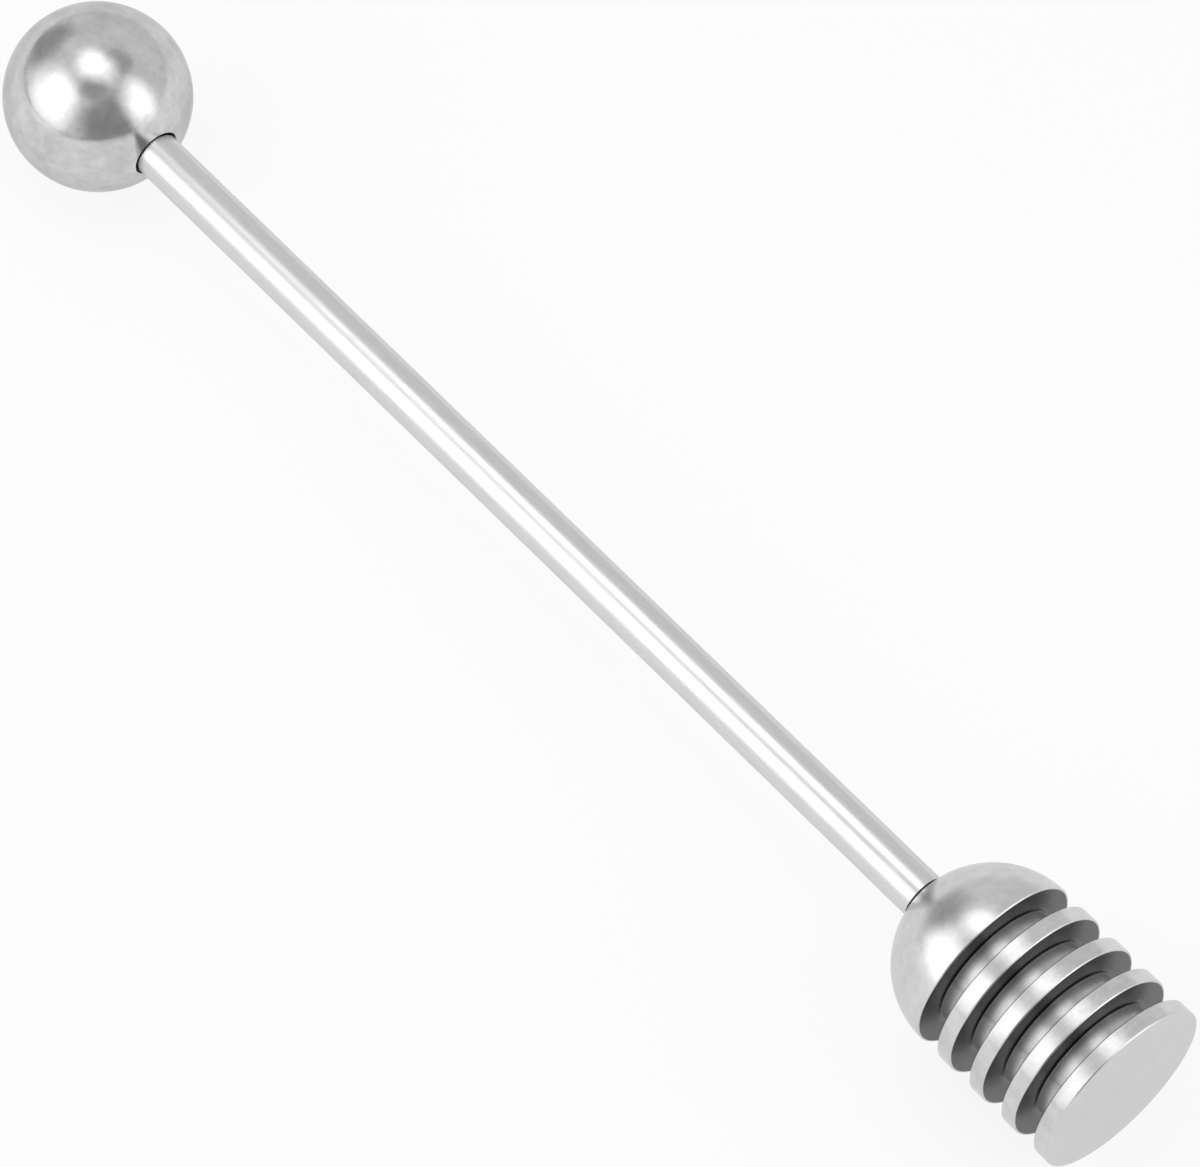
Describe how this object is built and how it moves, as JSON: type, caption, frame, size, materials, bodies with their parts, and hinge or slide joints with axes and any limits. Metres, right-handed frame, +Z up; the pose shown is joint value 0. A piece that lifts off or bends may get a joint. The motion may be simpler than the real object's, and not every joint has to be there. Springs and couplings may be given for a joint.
{
  "type": "honey dipper",
  "caption": "Steel honey dipper: a ball-ended round rod with a dome-backed, grooved cylindrical head that picks up honey.",
  "frame": {"origin": "on the surface that the dipper lies on, under the middle of its length", "axes": "+X along the dipper from the ball to the grooved head, +Z up from the surface, the dipper's axis 10 mm above it"},
  "size_m": [0.165, 0.02, 0.02],
  "materials": {
    "knob_steel": "satin-polished stainless steel",
    "rod_steel": "polished stainless steel bar",
    "head_steel": "turned and satin-polished stainless steel"
  },
  "bodies": {
    "root": {"ball_knob": "knob_steel", "handle_rod": "rod_steel", "dipper_head": "head_steel"}
  },
  "joints": []
}
